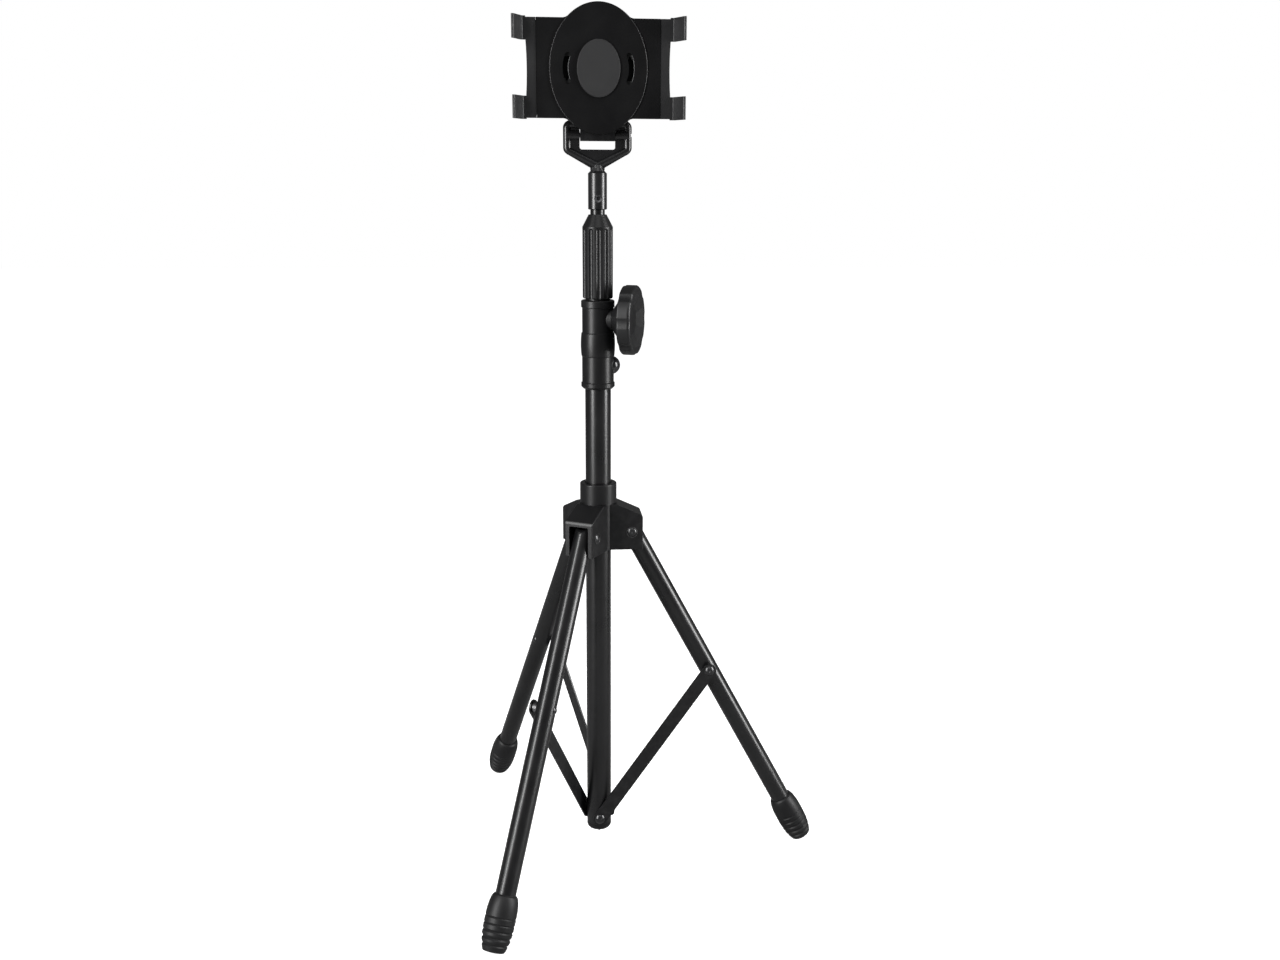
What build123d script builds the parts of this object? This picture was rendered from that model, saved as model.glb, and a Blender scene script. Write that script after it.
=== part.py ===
"""Adjustable tablet floor stand: folding tripod, two sliding stages and a turning clamp holder.

Millimetres. The origin is on the floor under the post, +Z is up, the holder faces -Y and its jaws
slide along X. The stand is drawn fully open, with both telescopic stages pushed in.
"""
import os
from math import asin, cos, degrees, radians, sin

from build123d import *

os.makedirs("parts", exist_ok=True)

# Fits and clearances
RUNNING_CLEARANCE = 0.05
PIVOT_SIDE_GAP = 0.2
FREE_GAP = 0.3
SLIDE_GAP = 0.4
HUB_SLIDE_CLEARANCE = 0.65
OPEN_PIVOT_CLEARANCE = 0.75
OVERRUN = 3.0

# Tubes, each inside the one before
POST_RADIUS = 11.0
TUBE_WALL = 1.2
MIDDLE_FIT = 0.8
ROD_FIT = 1.8
LEG_RADIUS = 8.5
POST_EDGE_ROUND = 0.5

# Tripod linkage: every other pivot position follows from these
LEG_AZIMUTHS = (0, 120, -120)
LEG_ANGLE = 28.25
HUB_PIVOT_HEIGHT = 306.0
HUB_PIVOT_REACH = 12.55
LEG_TO_RIVET = 148.4
BRACE_LENGTH = 172.2

# Ends of the tubes
POST_END_DROP = 7.1
POST_ABOVE_HUB = 148.4
MIDDLE_REST_GAP = 5.0
MIDDLE_TOP_RISE = 23.0
ROD_REST_GAP = 10.0
ROD_TOP_RISE = 86.0

# Rivets
RIVET_RADIUS = 2.5
RIVET_HEAD_RADIUS = 4.5
RIVET_HEAD_HEIGHT = 2.2
RIVET_TAIL_RADIUS = 3.4
RIVET_TAIL_HEIGHT = 1.6
RIVET_TAIL_SINK = 0.4
RIVET_ROOT_DEPTH = 5.5

# Braces
STRAP_WIDTH = 12.3
STRAP_THICKNESS = 1.5
STRAP_POST_GAP = 0.55

# Hub casting
HUB_RING_WALL = 4.2
HUB_BOTTOM_DROP = 15.4
HUB_SLOPE_RISE = 10.0
HUB_NECK_LENGTH = 17.6
HUB_ARM_CORNER_ROUND = 3.5
HUB_EDGE_ROUND = 0.8
HUB_RING_ROUND = 1.0
CLEVIS_SIDE_GAP = 0.5
CLEVIS_SIDE_WALL = 4.15
CLEVIS_ROOF = 4.0
CLEVIS_TOP_GAP = 2.5
CLEVIS_END_GAP = 1.1
CLEVIS_CORNER_ROUND = 1.5
HUB_RIVET_HEAD_RADIUS = 4.0
HUB_RIVET_HEAD_HEIGHT = 1.6

# Rubber feet, measured along the leg from the blunt end
FOOT_END_WALL = 0.85
FOOT_END_ROUND = 1.0
FOOT_LENGTH = 44.5
FOOT_WAIST_WALL = 4.25
FOOT_WAIST_SHARE = 0.56
FOOT_TOP_WALL = 1.8
FOOT_TOP_ROUND = 1.2
FOOT_FLOOR = 6.0
FOOT_RIB_COUNT = 5
FOOT_RIB_DEPTH = 0.5
FOOT_RIB_SLOPE = 1.6
FOOT_RIB_SHARE = 0.6

# Plug in the lower end of the post
PLUG_LENGTH = 18.0
PLUG_SKIRT = 2.0
PLUG_SHOULDER = 5.0
PLUG_DOME_DEPTH = 6.2
PLUG_NUB_RADIUS = 2.4
PLUG_NUB_TIP_RADIUS = 0.7
PLUG_NUB_DEPTH = 4.5

# Wing screw of the hub
WING_AZIMUTH = 60
WING_DROP = 2.0
WING_STUD_RADIUS = 2.5
WING_BOSS_RADIUS = 4.5
WING_BOSS_GAP = 3.65
WING_BOSS_LENGTH = 7.5
WING_SPAN = 15.0
WING_TIP_REACH = 9.0
WING_TIP_WIDTH = 8.0
WING_THICKNESS = 4.0
WING_ROUND = 3.0
WING_TURN = 68

# Parts of a clamp: a pad carried on the end of a stud
PAD_GAP = 0.65
PAD_LENGTH = 3.2
SPIGOT_RADIUS = 1.4
SPIGOT_LENGTH = 1.8

# Collar at the top of the post
COLLAR_GRIP = 66.0
COLLAR_TOP_RISE = 8.7
COLLAR_FOOT_WALL = 3.25
COLLAR_FOOT_CHAMFER = 1.8
COLLAR_FOOT_HEIGHT = 5.0
COLLAR_LOWER_WALL = 2.45
COLLAR_BAND_RISE = 28.0
COLLAR_BAND_HEIGHT = 19.0
COLLAR_BAND_END_WALL = 3.0
COLLAR_BAND_WALL = 3.5
COLLAR_UPPER_WALL = 2.25
COLLAR_FLANGE_HEIGHT = 5.7
COLLAR_FLANGE_WALL = 3.1
COLLAR_STEP = 0.7

# Bush between the post and the middle tube
BUSH_LENGTH = 32.0
BUSH_FLANGE = 2.5

# Clamp knob of the collar
KNOB_AZIMUTH = -18.6
KNOB_DROP = 7.4
KNOB_STUD_RADIUS = 3.0
KNOB_STUD_DEPTH = 3.4
KNOB_BOSS_RADIUS = 9.3
KNOB_BOSS_RISE = 0.45
KNOB_BACK_RADIUS = 9.6
KNOB_CONE_LENGTH = 8.5
KNOB_RIM_BACK_RADIUS = 21.0
KNOB_RIM_WIDTH = 11.8
KNOB_RADIUS = 29.2
KNOB_LOBES = 8
KNOB_SCALLOP_RADIUS = 10.0
KNOB_SCALLOP_DEPTH = 1.2
KNOB_LOBE_ROUND = 3.0
KNOB_EDGE_ROUND = 1.6
KNOB_FACE_ROUND = 2.6
KNOB_DISH_RADIUS = 24.0
KNOB_DISH_DEPTH = 4.2
KNOB_DISH_TAPER = 68

# Dome-headed fixing screw of the collar
FIXING_AZIMUTH = 10
FIXING_DROP = 8.6
FIXING_HEAD_RADIUS = 7.7
FIXING_HEAD_SINK = 0.2
FIXING_HEAD_SKIRT = 2.4
FIXING_HEAD_HEIGHT = 6.0
FIXING_SHANK_RADIUS = 3.0
FIXING_SHANK_SINK = 0.8

# Guides at the lower ends of the sliding tubes
MIDDLE_GUIDE_LENGTH = 22.0
ROD_GUIDE_LENGTH = 20.0
GUIDE_LIP = 2.0
GUIDE_LIP_WIDTH = 1.0

# Twist clutch between the middle tube and the rod
CLUTCH_NECK_HEIGHT = 0.9
CLUTCH_NECK_WALL = 1.35
CLUTCH_BODY_WALL = 0.7
CLUTCH_BODY_RISE = 28.0
CLUTCH_BODY_GAP = 0.6
COLLET_LENGTH = 18.0
COLLET_WALL = 2.2
COLLET_TOP_WALL = 0.9
COLLET_SLIT = 1.6
SLEEVE_SHOULDER_RISE = 18.0
SLEEVE_CONE_HEIGHT = 10.0
SLEEVE_WALL = 3.0
SLEEVE_TOP_WALL = 0.95
SLEEVE_BORE_GAP = 3.0
SLEEVE_MOUTH_GAP = 0.5
SLEEVE_CONE_GAP = 0.8
FLUTE_COUNT = 12
FLUTE_RADIUS = 2.6
FLUTE_DEPTH = 1.0
FLUTE_DROP = 3.0
FLUTE_EDGE = 0.8

# Neck bracket: socket below, fork with a tilt pin above
SOCKET_WALL = 1.775
SOCKET_DEPTH = 26.0
SOCKET_ROOF = 5.0
SOCKET_CHAMFER = 0.6
SOCKET_SHOULDER = 1.9
FAIRING_RADIUS = 4.6
FAIRING_RISE = 7.5
FAIRING_MID_RADIUS = 3.6
FAIRING_MID_RISE = 2.5
FORK_HALF_WIDTH = 28.0
FORK_NECK_HALF_WIDTH = 5.85
FORK_NECK_RISE = 2.5
FORK_SLOPE_RISE = 12.5
FORK_EAR_RISE = 11.6
FORK_CORNER_ROUND = 6.0
FORK_RIM_RADIUS = 3.25
FORK_WEB_THICKNESS = 3.0
FORK_GAP_HALF_WIDTH = 14.6
FORK_GAP_DROP = 11.4
FORK_GAP_ROUND = 2.0
TILT_RISE = 13.4
TILT_PIN_RADIUS = 2.0
TILT_PIN_HEAD_INSET = 0.6
TILT_PIN_END_INSET = 5.0
TILT_BOSS_RADIUS = 4.2
TILT_BOSS_INSET = 3.4

# Set screw of the socket
SET_SCREW_AZIMUTH = -88
SET_SCREW_RISE = 9.0
SET_SCREW_RADIUS = 3.2
SET_SCREW_LENGTH = 1.3
SET_SCREW_KEY_RADIUS = 1.7
SET_SCREW_KEY_DEPTH = 0.9

# Tilt arm behind the holder
ARM_LENGTH = 50.5
KNUCKLE_RADIUS = 4.8
KNUCKLE_SIDE_GAP = 0.6
ARM_OFFSET = 8.0
ARM_THICKNESS = 3.5
ARM_SIDE_STEP = 1.0
ARM_DISC_RADIUS = 25.0
ARM_NECK_LENGTH = 14.5
ARM_BOSS_RADIUS = 9.0
ARM_BOSS_RISE = 1.5

# Turning screw of the holder
TURN_RADIUS = 3.0
TURN_TIP_GAP = 0.2
TURN_HEAD_RADIUS = 6.0
TURN_HEAD_THICKNESS = 3.2

# Holder housing: a wide plate with an upright oval, seen from the front
PLATE_HALF_WIDTH = 49.2
PLATE_HALF_HEIGHT = 38.05
OVAL_SIDE_INSET = 10.05
OVAL_TOP_RISE = 12.25
OVAL_BLEND_ROUND = 7.0
HOUSING_DEPTH = 5.8
OVAL_RAISE = 0.8
HOUSING_WALL = 1.3
HOUSING_RIM = 1.6
COVER_THICKNESS = 1.2
COVER_BOSS_RADIUS = 22.0
COVER_BOSS_HEIGHT = 3.2
COVER_ARM_GAP = 1.0
VENT_RADIUS = 26.3
VENT_HALF_WIDTH = 2.2
VENT_HALF_ANGLE = 22
PAD_HALF_WIDTH = 17.3
PAD_HALF_HEIGHT = 22.25
PAD_THICKNESS = 1.5
PAD_EDGE_ROUND = 0.7
SCREW_BOSS_X = 9.0
SCREW_BOSS_INSET = 7.3
SCREW_BOSS_RADIUS = 3.6
COVER_SCREW_RADIUS = 1.25
COVER_SCREW_LENGTH = 4.6
COVER_SCREW_HEAD_RADIUS = 2.6
COVER_SCREW_HEAD_HEIGHT = 1.1

# Jaws of the holder
JAW_WIDTH = 9.6
JAW_HOLLOW_DEPTH = 2.3
JAW_TONGUE = 4.0
JAW_FRONT_STEP = 0.6
RAIL_START = 14.0
RAIL_WIDTH = 17.5
RAIL_INSET = 2.05
HOOK_HEIGHT = 17.8
HOOK_TOP_RISE = 0.95
HOOK_THICKNESS = 2.4
HOOK_ROOT = 1.7
HOOK_BEND_REACH = 1.5
HOOK_TIP_REACH = 6.8
HOOK_TIP_DEPTH = 12.1
HOOK_BEND_ROUND = 2.0

# Rack and pinion that keeps the jaws centred
PINION_TEETH = 16
PINION_RADIUS = 8.0
TOOTH_ADDENDUM = 0.8
TOOTH_DEDENDUM = 1.25
TOOTH_ROOT_SHARE = 0.52
TOOTH_TIP_SHARE = 0.22
RACK_DEPTH = 5.0
RACK_TEETH = 14
RACK_END_INSET = 9.2
PINION_AXLE_RADIUS = 2.0

# Radii that follow from those above
UP = (Align.CENTER, Align.CENTER, Align.MIN)
POST_BORE = POST_RADIUS - TUBE_WALL
MIDDLE_RADIUS = POST_BORE - MIDDLE_FIT
MIDDLE_BORE = MIDDLE_RADIUS - TUBE_WALL
ROD_RADIUS = MIDDLE_BORE - ROD_FIT
ROD_BORE = ROD_RADIUS - TUBE_WALL
HUB_BORE = POST_RADIUS + HUB_SLIDE_CLEARANCE
HUB_RING_RADIUS = HUB_BORE + HUB_RING_WALL
RIVET_ROOT_RADIUS = POST_RADIUS - RIVET_ROOT_DEPTH
PLUG_DOME_RADIUS = POST_RADIUS - PLUG_SHOULDER
FOOT_END_RADIUS = LEG_RADIUS + FOOT_END_WALL
FOOT_WAIST_RADIUS = LEG_RADIUS + FOOT_WAIST_WALL
FOOT_TOP_RADIUS = LEG_RADIUS + FOOT_TOP_WALL
COLLAR_FOOT_RADIUS = POST_RADIUS + COLLAR_FOOT_WALL
COLLAR_LOWER_RADIUS = POST_RADIUS + COLLAR_LOWER_WALL
COLLAR_BAND_END_RADIUS = POST_RADIUS + COLLAR_BAND_END_WALL
COLLAR_BAND_RADIUS = POST_RADIUS + COLLAR_BAND_WALL
COLLAR_UPPER_RADIUS = POST_RADIUS + COLLAR_UPPER_WALL
COLLAR_FLANGE_RADIUS = POST_RADIUS + COLLAR_FLANGE_WALL
COLLAR_LIP_RADIUS = MIDDLE_RADIUS + SLIDE_GAP
CLUTCH_NECK_RADIUS = MIDDLE_RADIUS + CLUTCH_NECK_WALL
CLUTCH_BODY_RADIUS = MIDDLE_RADIUS + CLUTCH_BODY_WALL
CLUTCH_BODY_BORE = ROD_RADIUS + CLUTCH_BODY_GAP
COLLET_RADIUS = ROD_RADIUS + COLLET_WALL
COLLET_TOP_RADIUS = ROD_RADIUS + COLLET_TOP_WALL
SLEEVE_RADIUS = CLUTCH_BODY_RADIUS + SLEEVE_WALL
SLEEVE_MOUTH_RADIUS = ROD_RADIUS + SLEEVE_MOUTH_GAP
SLEEVE_TOP_RADIUS = SLEEVE_MOUTH_RADIUS + SLEEVE_TOP_WALL
SLEEVE_CONE_RADIUS = COLLET_RADIUS + SLEEVE_CONE_GAP
SOCKET_RADIUS = ROD_RADIUS + SOCKET_WALL

# Linkage
HUB_PIVOT_RADIUS = HUB_RING_RADIUS + HUB_PIVOT_REACH
BRACE_OFFSET = POST_RADIUS + STRAP_POST_GAP + STRAP_THICKNESS / 2
LEG_SINE = sin(radians(LEG_ANGLE))
LEG_COSINE = cos(radians(LEG_ANGLE))
BRACE_ANGLE = degrees(asin((HUB_PIVOT_RADIUS + LEG_TO_RIVET * LEG_SINE) / BRACE_LENGTH))
BRACE_PIVOT_HEIGHT = (
    HUB_PIVOT_HEIGHT - LEG_TO_RIVET * LEG_COSINE - BRACE_LENGTH * cos(radians(BRACE_ANGLE))
)
FOOT_HEEL_DROP = (FOOT_END_RADIUS - FOOT_END_ROUND) * LEG_SINE + FOOT_END_ROUND * (1 - LEG_COSINE)
LEG_LENGTH = (HUB_PIVOT_HEIGHT - FOOT_HEEL_DROP) / LEG_COSINE

# Hub
CLEVIS_BACK = HUB_PIVOT_RADIUS - LEG_RADIUS - CLEVIS_END_GAP
CLEVIS_HALF_WIDTH = LEG_RADIUS + CLEVIS_SIDE_GAP
CLEVIS_TOP = HUB_PIVOT_HEIGHT + LEG_RADIUS + CLEVIS_TOP_GAP
HUB_ARM_REACH = HUB_PIVOT_RADIUS + LEG_RADIUS + CLEVIS_END_GAP
HUB_ARM_HALF_WIDTH = CLEVIS_HALF_WIDTH + CLEVIS_SIDE_WALL
HUB_ARM_TOP = CLEVIS_TOP + CLEVIS_ROOF
HUB_SHOULDER = HUB_ARM_TOP + HUB_SLOPE_RISE
HUB_TOP = HUB_SHOULDER + HUB_NECK_LENGTH
HUB_BOTTOM = HUB_PIVOT_HEIGHT - HUB_BOTTOM_DROP
WING_HEIGHT = HUB_ARM_TOP - WING_DROP
WING_BOSS_START = HUB_RING_RADIUS + WING_BOSS_GAP
WING_BOSS_END = WING_BOSS_START + WING_BOSS_LENGTH
WING_TIP = WING_BOSS_END + WING_TIP_REACH

# Heights along the post and the telescope
POST_BOTTOM = BRACE_PIVOT_HEIGHT - POST_END_DROP
POST_TOP = HUB_TOP + POST_ABOVE_HUB
PLUG_TOP = POST_BOTTOM + PLUG_LENGTH
MIDDLE_BOTTOM = PLUG_TOP + MIDDLE_REST_GAP
MIDDLE_TOP = POST_TOP + MIDDLE_TOP_RISE
ROD_BOTTOM = MIDDLE_BOTTOM + ROD_REST_GAP
ROD_TOP = MIDDLE_TOP + ROD_TOP_RISE
COLLAR_BOTTOM = POST_TOP - COLLAR_GRIP
COLLAR_TOP = POST_TOP + COLLAR_TOP_RISE
COLLAR_FOOT_TOP = COLLAR_BOTTOM + COLLAR_FOOT_HEIGHT
COLLAR_BAND_BOTTOM = COLLAR_BOTTOM + COLLAR_BAND_RISE
COLLAR_BAND_TOP = COLLAR_BAND_BOTTOM + COLLAR_BAND_HEIGHT
COLLAR_FLANGE_BOTTOM = COLLAR_TOP - COLLAR_FLANGE_HEIGHT
BUSH_BOTTOM = POST_TOP - BUSH_LENGTH
CLUTCH_NECK_BOTTOM = COLLAR_TOP + FREE_GAP
CLUTCH_NECK_TOP = CLUTCH_NECK_BOTTOM + CLUTCH_NECK_HEIGHT
CLUTCH_BODY_TOP = MIDDLE_TOP + CLUTCH_BODY_RISE
COLLET_TOP = CLUTCH_BODY_TOP + COLLET_LENGTH
SLEEVE_BOTTOM = CLUTCH_NECK_TOP + FREE_GAP
SLEEVE_SHOULDER = CLUTCH_BODY_TOP + SLEEVE_SHOULDER_RISE
SLEEVE_TOP = SLEEVE_SHOULDER + SLEEVE_CONE_HEIGHT
SLEEVE_BORE_TOP = CLUTCH_BODY_TOP + SLEEVE_BORE_GAP
FLUTE_TOP = SLEEVE_SHOULDER - FLUTE_DROP

# Knob and fixing screw, measured out from the post's axis
KNOB_HEIGHT = POST_TOP - KNOB_DROP
KNOB_BOSS_END = COLLAR_UPPER_RADIUS + KNOB_BOSS_RISE
KNOB_BACK = KNOB_BOSS_END + SLIDE_GAP
KNOB_RIM_BACK = KNOB_BACK + KNOB_CONE_LENGTH
KNOB_FACE = KNOB_RIM_BACK + KNOB_RIM_WIDTH
KNOB_STUD_END = KNOB_RIM_BACK + KNOB_STUD_DEPTH
FIXING_HEIGHT = COLLAR_BAND_BOTTOM - FIXING_DROP
FIXING_HEAD_BASE = POST_RADIUS - FIXING_HEAD_SINK
FIXING_HEAD_SEAT = FIXING_HEAD_BASE + FIXING_HEAD_SKIRT
FIXING_HEAD_TOP = FIXING_HEAD_SEAT + FIXING_HEAD_HEIGHT
FIXING_SHANK_END = POST_RADIUS - FIXING_SHANK_SINK

# Bracket and arm
SOCKET_BOTTOM = ROD_TOP - SOCKET_DEPTH
SOCKET_TOP = ROD_TOP + SOCKET_ROOF
SET_SCREW_HEIGHT = SOCKET_BOTTOM + SET_SCREW_RISE
FORK_NECK_HEIGHT = SOCKET_TOP + FORK_NECK_RISE
FAIRING_MID = FORK_NECK_HEIGHT + FAIRING_MID_RISE
FAIRING_TOP = FORK_NECK_HEIGHT + FAIRING_RISE
FORK_SLOPE_TOP = FORK_NECK_HEIGHT + FORK_SLOPE_RISE
TILT_HEIGHT = FORK_SLOPE_TOP + TILT_RISE
FORK_TOP = TILT_HEIGHT + FORK_EAR_RISE
FORK_GAP_BOTTOM = TILT_HEIGHT - FORK_GAP_DROP
TILT_PIN_START = TILT_PIN_END_INSET - FORK_HALF_WIDTH
TILT_PIN_END = FORK_HALF_WIDTH - TILT_PIN_HEAD_INSET
TILT_BOSS_END = FORK_HALF_WIDTH - TILT_BOSS_INSET
KNUCKLE_HALF_WIDTH = FORK_GAP_HALF_WIDTH - KNUCKLE_SIDE_GAP
ARM_HALF_WIDTH = KNUCKLE_HALF_WIDTH - ARM_SIDE_STEP
ARM_FRONT = -ARM_OFFSET
ARM_BACK = ARM_FRONT + ARM_THICKNESS
ARM_BOSS_BACK = ARM_BACK + ARM_BOSS_RISE
HOLDER_HEIGHT = TILT_HEIGHT + ARM_LENGTH
HOLDER_AT = Pos(0, 0, HOLDER_HEIGHT)

# Holder
COVER_BOSS_BACK = ARM_FRONT - COVER_ARM_GAP
HOUSING_BACK = COVER_BOSS_BACK - COVER_BOSS_HEIGHT
PLATE_FRONT = HOUSING_BACK - HOUSING_DEPTH
OVAL_FRONT = PLATE_FRONT - OVAL_RAISE
OVAL_HALF_WIDTH = PLATE_HALF_WIDTH - OVAL_SIDE_INSET
OVAL_HALF_HEIGHT = PLATE_HALF_HEIGHT + OVAL_TOP_RISE
SCREW_BOSS_Z = OVAL_HALF_HEIGHT - SCREW_BOSS_INSET
TURN_FRONT = HOUSING_BACK + TURN_TIP_GAP
JAW_START = PLATE_HALF_WIDTH + FREE_GAP
JAW_END = JAW_START + JAW_WIDTH
JAW_BACK = HOUSING_BACK - SLIDE_GAP
JAW_FRONT = PLATE_FRONT + JAW_FRONT_STEP
RAIL_BACK = HOUSING_BACK - COVER_THICKNESS - SLIDE_GAP
RAIL_FRONT = PLATE_FRONT + HOUSING_WALL + SLIDE_GAP
RAIL_OUTER = PLATE_HALF_HEIGHT - RAIL_INSET
RAIL_INNER = RAIL_OUTER - RAIL_WIDTH
HOOK_TOP = PLATE_HALF_HEIGHT + HOOK_TOP_RISE
HOOK_ROOT_X = JAW_END - HOOK_ROOT
HOOK_BEND_X = JAW_END + HOOK_BEND_REACH
HOOK_TIP_X = HOOK_BEND_X + HOOK_TIP_REACH
HOOK_TIP_Y = JAW_FRONT - HOOK_TIP_DEPTH
RACK_END = PLATE_HALF_WIDTH - RACK_END_INSET
TOOTH_PITCH = 2 * PINION_RADIUS * radians(180) / PINION_TEETH


def rod(radius, low, high):
    """Upright cylinder between two heights."""
    return Pos(0, 0, low) * Cylinder(radius, high - low, align=UP)


def pipe(outer, inner, low, high):
    """Upright tube between two heights."""
    return rod(outer, low, high) - rod(inner, low - OVERRUN, high + OVERRUN)


def turned(points):
    """Solid turned about Z from an outline of (radius, height) points."""
    return revolve(make_face(Plane.XZ * Polyline(*points, close=True)), Axis.Z)


def turned_edges(edges):
    """Solid turned about Z from outline edges drawn in the plane of radius and height."""
    return revolve(make_face(Plane.XZ * Curve(edges)), Axis.Z)


def dome(radius, height):
    """Spherical cap with its flat side at zero, bulging along +Z."""
    ball_radius = (radius**2 + height**2) / (2 * height)
    ball = Pos(0, 0, height - ball_radius) * Sphere(ball_radius)
    return ball & rod(radius, 0, height)


def outward(azimuth, height):
    """Place a piece drawn along +Z so that it points out from the post."""
    return Rot(0, 0, azimuth) * Pos(0, 0, height) * Rot(0, 90, 0)


def depthwise(piece, back):
    """Turn a piece drawn upward from zero so that it grows toward the viewer from one depth."""
    return Pos(0, back, 0) * Rot(90, 0, 0) * piece


def slab(sketch, back, front):
    """Front-view sketch made solid between two depths."""
    return depthwise(extrude(sketch, back - front), back)


def leg_frame(azimuth):
    """Frame of a leg: origin on its hub pivot, the leg running down local Z."""
    pivot = Pos(HUB_PIVOT_RADIUS, 0, HUB_PIVOT_HEIGHT)
    return Rot(0, 0, azimuth) * pivot * Rot(0, -LEG_ANGLE, 0)


def brace_frame(azimuth):
    """Frame of a brace: origin on its lower pivot, the strap running up local Z."""
    return Rot(0, 0, azimuth) * Pos(0, 0, BRACE_PIVOT_HEIGHT) * Rot(0, BRACE_ANGLE, 0)


def across(piece):
    """Turn a piece drawn along +Z so that it points to the braces' side of a leg."""
    return Rot(90, 0, 0) * piece


# Root: post, plug, lower rivets, collar, bush and fixing screw


def make_lower_post():
    post = pipe(POST_RADIUS, POST_BORE, POST_BOTTOM, POST_TOP)
    post = fillet(post.edges().filter_by(GeomType.CIRCLE).group_by(Axis.Z)[0], POST_EDGE_ROUND)
    for azimuth in LEG_AZIMUTHS:
        post -= outward(azimuth - 90, BRACE_PIVOT_HEIGHT) * rod(RIVET_RADIUS, 0, HUB_BORE)
    post -= outward(FIXING_AZIMUTH, FIXING_HEIGHT) * rod(FIXING_SHANK_RADIUS, 0, HUB_BORE)
    stud_hole = KNOB_STUD_RADIUS + FREE_GAP
    return post - outward(KNOB_AZIMUTH, KNOB_HEIGHT) * rod(stud_hole, 0, HUB_BORE)


def make_post_end_plug():
    skirt_bottom = POST_BOTTOM - PLUG_SKIRT
    dome_bottom = skirt_bottom - PLUG_DOME_DEPTH + PLUG_SKIRT
    nub_bottom = dome_bottom - PLUG_NUB_DEPTH
    edges = [
        Polyline(
            (POST_RADIUS, skirt_bottom),
            (POST_RADIUS, POST_BOTTOM),
            (POST_BORE, POST_BOTTOM),
            (POST_BORE, PLUG_TOP),
            (0, PLUG_TOP),
            (0, nub_bottom),
            (PLUG_NUB_TIP_RADIUS, nub_bottom),
            (PLUG_NUB_RADIUS, dome_bottom),
            (PLUG_DOME_RADIUS, dome_bottom),
        ),
        TangentArc(
            (POST_RADIUS, skirt_bottom), (PLUG_DOME_RADIUS, dome_bottom), tangent=(0, -1)
        ),
    ]
    plug = turned_edges(edges)
    for azimuth in LEG_AZIMUTHS:
        plug -= outward(azimuth - 90, BRACE_PIVOT_HEIGHT) * rod(
            RIVET_RADIUS, RIVET_ROOT_RADIUS, HUB_BORE
        )
    return plug


def make_brace_post_rivets():
    head_base = BRACE_OFFSET + STRAP_THICKNESS / 2 + STRAP_POST_GAP
    rivet = rod(RIVET_RADIUS, RIVET_ROOT_RADIUS, head_base)
    rivet += Pos(0, 0, head_base) * dome(RIVET_HEAD_RADIUS, RIVET_HEAD_HEIGHT)
    places = [outward(azimuth - 90, BRACE_PIVOT_HEIGHT) for azimuth in LEG_AZIMUTHS]
    return Compound([place * rivet for place in places])


def make_collar():
    band_middle = (COLLAR_BAND_BOTTOM + COLLAR_BAND_TOP) / 2
    bush_top = POST_TOP + BUSH_FLANGE
    edges = [
        Polyline(
            (COLLAR_BAND_END_RADIUS, COLLAR_BAND_BOTTOM),
            (COLLAR_LOWER_RADIUS, COLLAR_BAND_BOTTOM - COLLAR_STEP),
            (COLLAR_LOWER_RADIUS, COLLAR_FOOT_TOP + COLLAR_STEP),
            (COLLAR_FOOT_RADIUS, COLLAR_FOOT_TOP),
            (COLLAR_FOOT_RADIUS, COLLAR_BOTTOM + COLLAR_FOOT_CHAMFER),
            (COLLAR_FOOT_RADIUS - COLLAR_FOOT_CHAMFER, COLLAR_BOTTOM),
            (POST_RADIUS, COLLAR_BOTTOM),
            (POST_RADIUS, bush_top),
            (COLLAR_LIP_RADIUS, bush_top),
            (COLLAR_LIP_RADIUS, COLLAR_TOP),
            (COLLAR_FLANGE_RADIUS - COLLAR_STEP, COLLAR_TOP),
            (COLLAR_FLANGE_RADIUS, COLLAR_TOP - COLLAR_STEP),
            (COLLAR_FLANGE_RADIUS, COLLAR_FLANGE_BOTTOM),
            (COLLAR_UPPER_RADIUS, COLLAR_FLANGE_BOTTOM - COLLAR_STEP),
            (COLLAR_UPPER_RADIUS, COLLAR_BAND_TOP + COLLAR_STEP),
            (COLLAR_BAND_END_RADIUS, COLLAR_BAND_TOP),
        ),
        ThreePointArc(
            (COLLAR_BAND_END_RADIUS, COLLAR_BAND_TOP),
            (COLLAR_BAND_RADIUS, band_middle),
            (COLLAR_BAND_END_RADIUS, COLLAR_BAND_BOTTOM),
        ),
    ]
    collar = turned_edges(edges)
    knob_place = outward(KNOB_AZIMUTH, KNOB_HEIGHT)
    boss = knob_place * rod(KNOB_BOSS_RADIUS, 0, KNOB_BOSS_END)
    collar += boss - rod(POST_RADIUS + COLLAR_STEP, BUSH_BOTTOM, COLLAR_TOP + OVERRUN)
    collar -= knob_place * rod(KNOB_STUD_RADIUS + RUNNING_CLEARANCE, 0, KNOB_BACK)
    return collar - outward(FIXING_AZIMUTH, FIXING_HEIGHT) * rod(
        FIXING_SHANK_RADIUS, 0, FIXING_HEAD_TOP
    )


def make_collar_bush():
    bore = MIDDLE_RADIUS + RUNNING_CLEARANCE
    bush = pipe(POST_BORE, bore, BUSH_BOTTOM, POST_TOP)
    bush += pipe(POST_RADIUS, bore, POST_TOP, POST_TOP + BUSH_FLANGE)
    stud_hole = KNOB_STUD_RADIUS + FREE_GAP
    return bush - outward(KNOB_AZIMUTH, KNOB_HEIGHT) * rod(stud_hole, 0, POST_RADIUS)


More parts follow.
